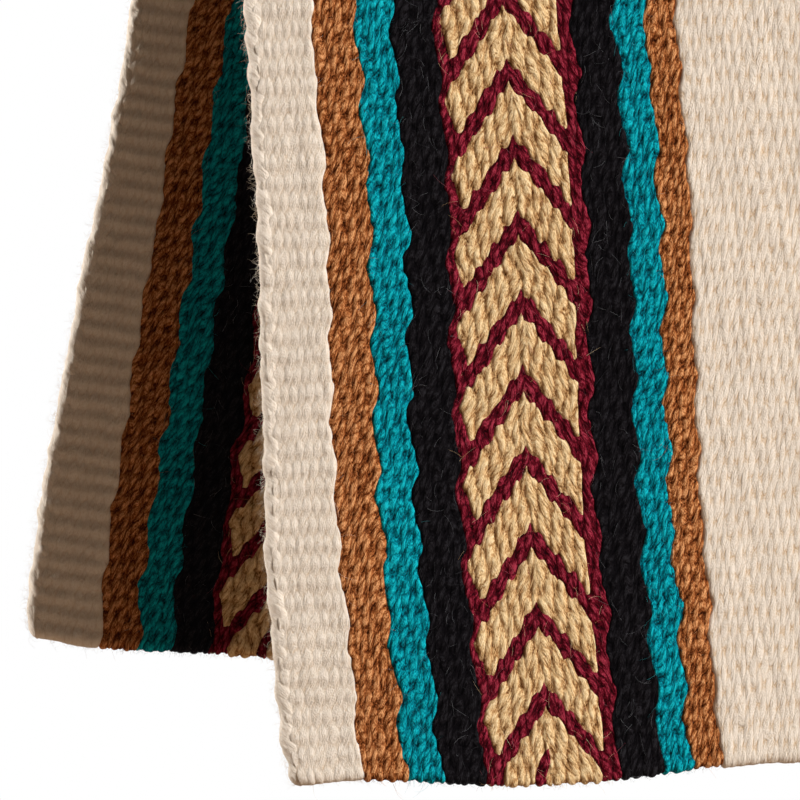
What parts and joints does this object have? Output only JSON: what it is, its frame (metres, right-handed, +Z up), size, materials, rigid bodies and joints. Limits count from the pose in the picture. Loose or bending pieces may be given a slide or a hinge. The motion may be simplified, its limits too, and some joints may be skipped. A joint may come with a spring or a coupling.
{
  "type": "saddle blanket",
  "caption": "Thick hand-woven wool saddle blanket with striped ends and chevron bands, hung over a flat-topped rail.",
  "frame": {"origin": "middle of the flat underside that rests on the rail", "axes": "+X along the rail and the horse's spine, -Y towards the front drop, +Z up"},
  "size_m": [0.9981, 0.1345, 0.4599],
  "materials": {
    "cream_wool": "matt wool yarn, natural cream",
    "copper_wool": "matt wool yarn, heathered copper brown",
    "teal_wool": "matt wool yarn, teal",
    "black_wool": "matt wool yarn, black with a few grey fibres",
    "maroon_wool": "matt wool yarn, maroon",
    "gold_wool": "matt coarse wool yarn, straw gold",
    "edge_cord": "twined wool cord, natural cream"
  },
  "bodies": {
    "root": {"cream_field": "cream_wool", "left_end_cord": "edge_cord", "left_cream_border": "cream_wool", "left_outer_copper_stripe": "copper_wool", "left_outer_teal_stripe": "teal_wool", "left_outer_black_stripe": "black_wool", "left_gold_chevrons": "gold_wool", "left_maroon_lattice": "maroon_wool", "left_inner_black_stripe": "black_wool", "left_inner_teal_stripe": "teal_wool", "left_inner_copper_stripe": "copper_wool", "right_end_cord": "edge_cord", "right_cream_border": "cream_wool", "right_outer_copper_stripe": "copper_wool", "right_outer_teal_stripe": "teal_wool", "right_outer_black_stripe": "black_wool", "right_gold_chevrons": "gold_wool", "right_maroon_lattice": "maroon_wool", "right_inner_black_stripe": "black_wool", "right_inner_teal_stripe": "teal_wool", "right_inner_copper_stripe": "copper_wool"}
  },
  "joints": []
}
